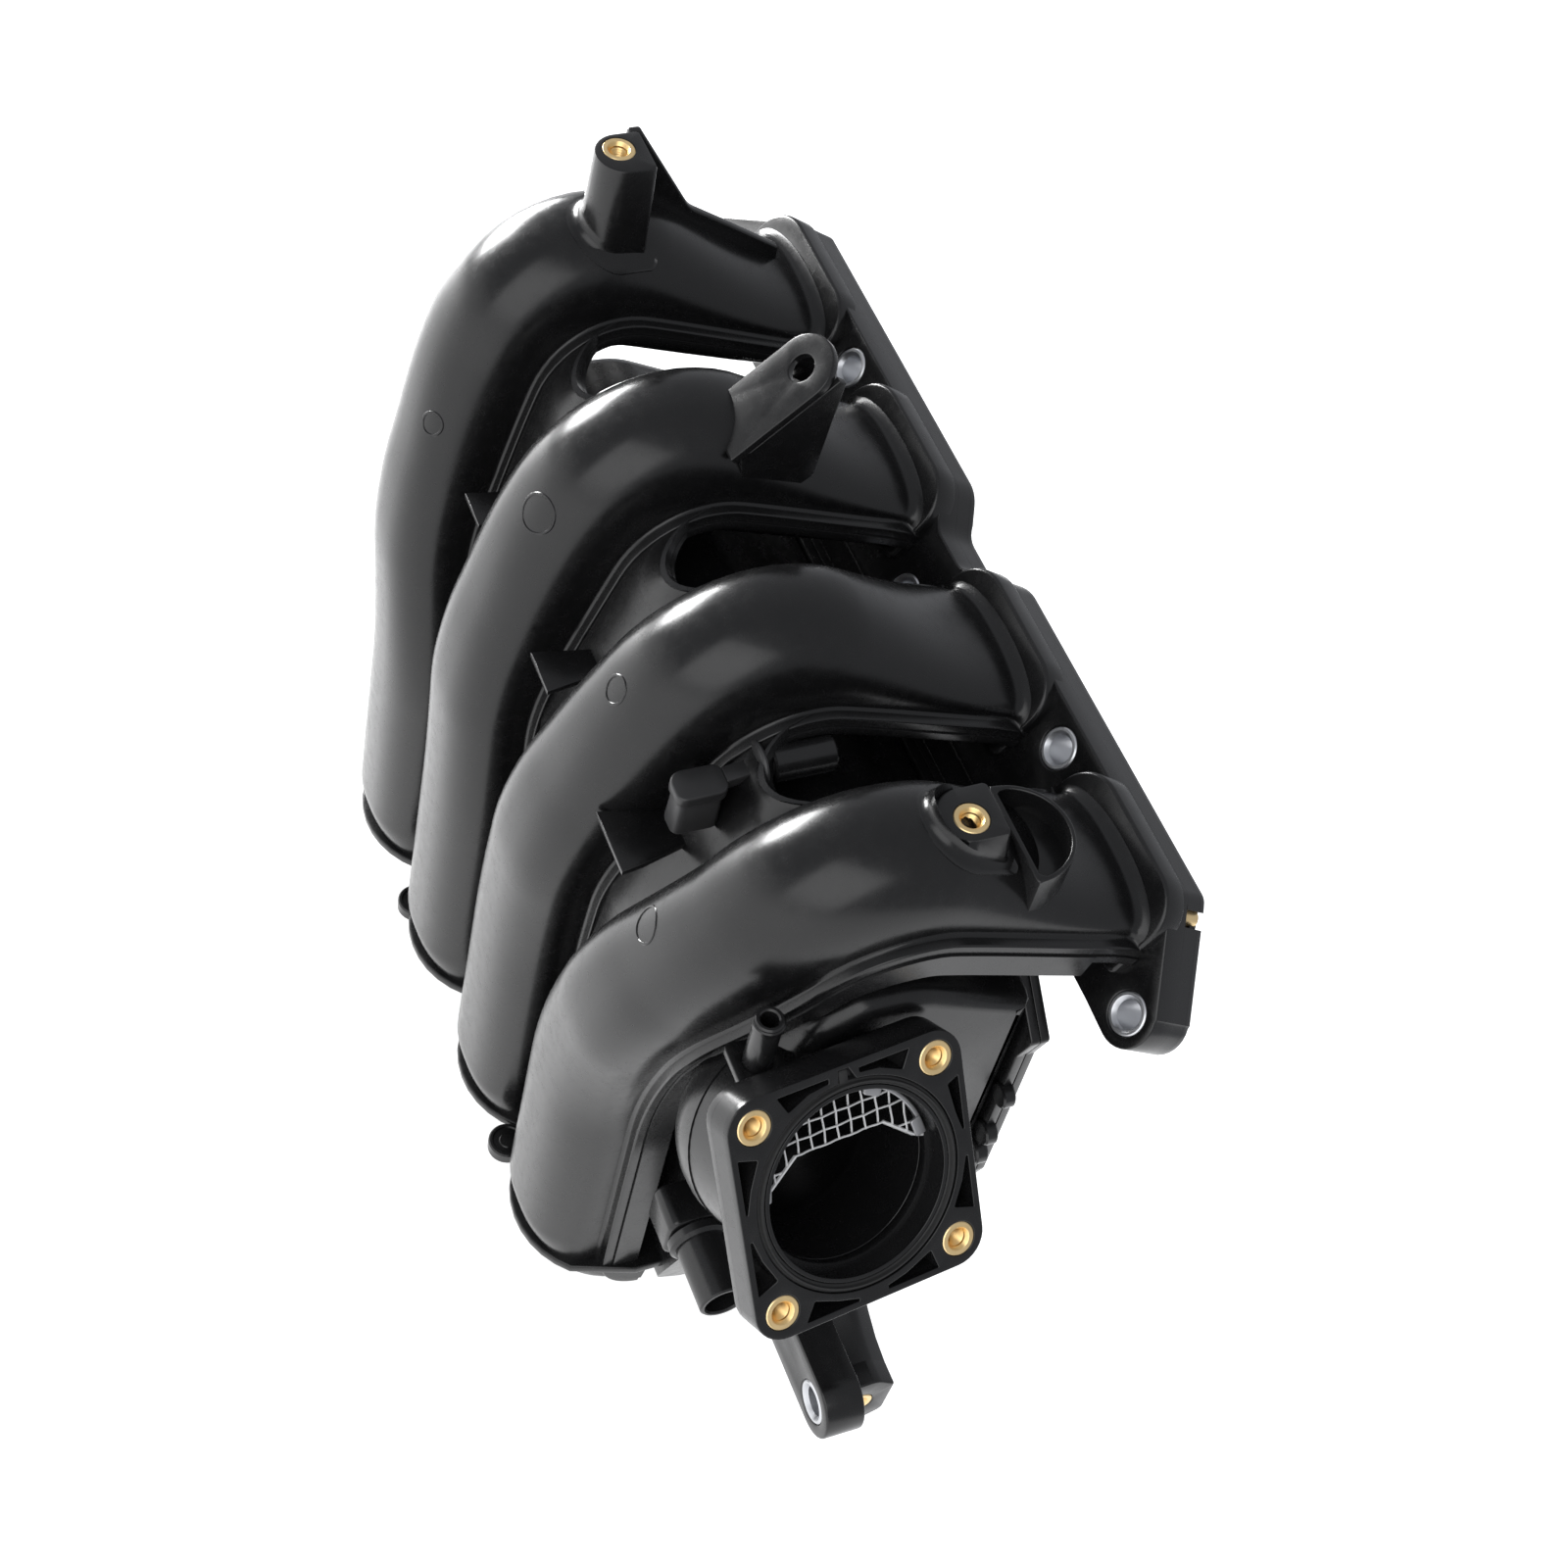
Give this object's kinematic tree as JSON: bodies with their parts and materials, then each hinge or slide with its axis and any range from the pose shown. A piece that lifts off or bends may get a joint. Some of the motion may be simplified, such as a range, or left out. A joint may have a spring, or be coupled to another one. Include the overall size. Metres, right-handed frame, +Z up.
{
  "type": "intake manifold",
  "caption": "Welded plastic intake manifold with curved runners, a plenum, a square throttle flange and a bolted head flange.",
  "frame": {"origin": "centre of the cylinder-head face, midway between the end ports and between the two bolt rows", "axes": "+X out of the head face towards the engine, +Y along the row away from the throttle, +Z up the face, square to both"},
  "size_m": [0.2414, 0.4089, 0.3139],
  "materials": {
    "black_nylon": "satin moulded glass-filled nylon",
    "plug_nylon": "satin moulded nylon",
    "zinc_steel": "zinc plated, satin",
    "brass": "turned, satin",
    "seal_rubber": "moulded, matt",
    "screen_wire": "plain drawn wire",
    "screen_rim": "pressed strip"
  },
  "bodies": {
    "root": {"outer_shell": "black_nylon", "runner_body": "black_nylon", "plenum_housing": "black_nylon", "plenum_cover": "black_nylon", "flange_limiter_1": "zinc_steel", "flange_limiter_2": "zinc_steel", "flange_limiter_3": "zinc_steel", "flange_limiter_4": "zinc_steel", "flange_limiter_5": "zinc_steel", "bracket_limiter": "zinc_steel", "throttle_insert_1": "brass", "throttle_insert_2": "brass", "throttle_insert_3": "brass", "throttle_insert_4": "brass", "boss_insert_far": "brass", "boss_insert_near": "brass", "bracket_insert": "brass", "locating_sleeve": "brass", "port_seal_1": "seal_rubber", "port_seal_2": "seal_rubber", "port_seal_3": "seal_rubber", "port_seal_4": "seal_rubber", "throttle_seal": "seal_rubber", "screen_mesh": "screen_wire", "screen_frame": "screen_rim", "blanking_plug": "plug_nylon"}
  },
  "joints": []
}
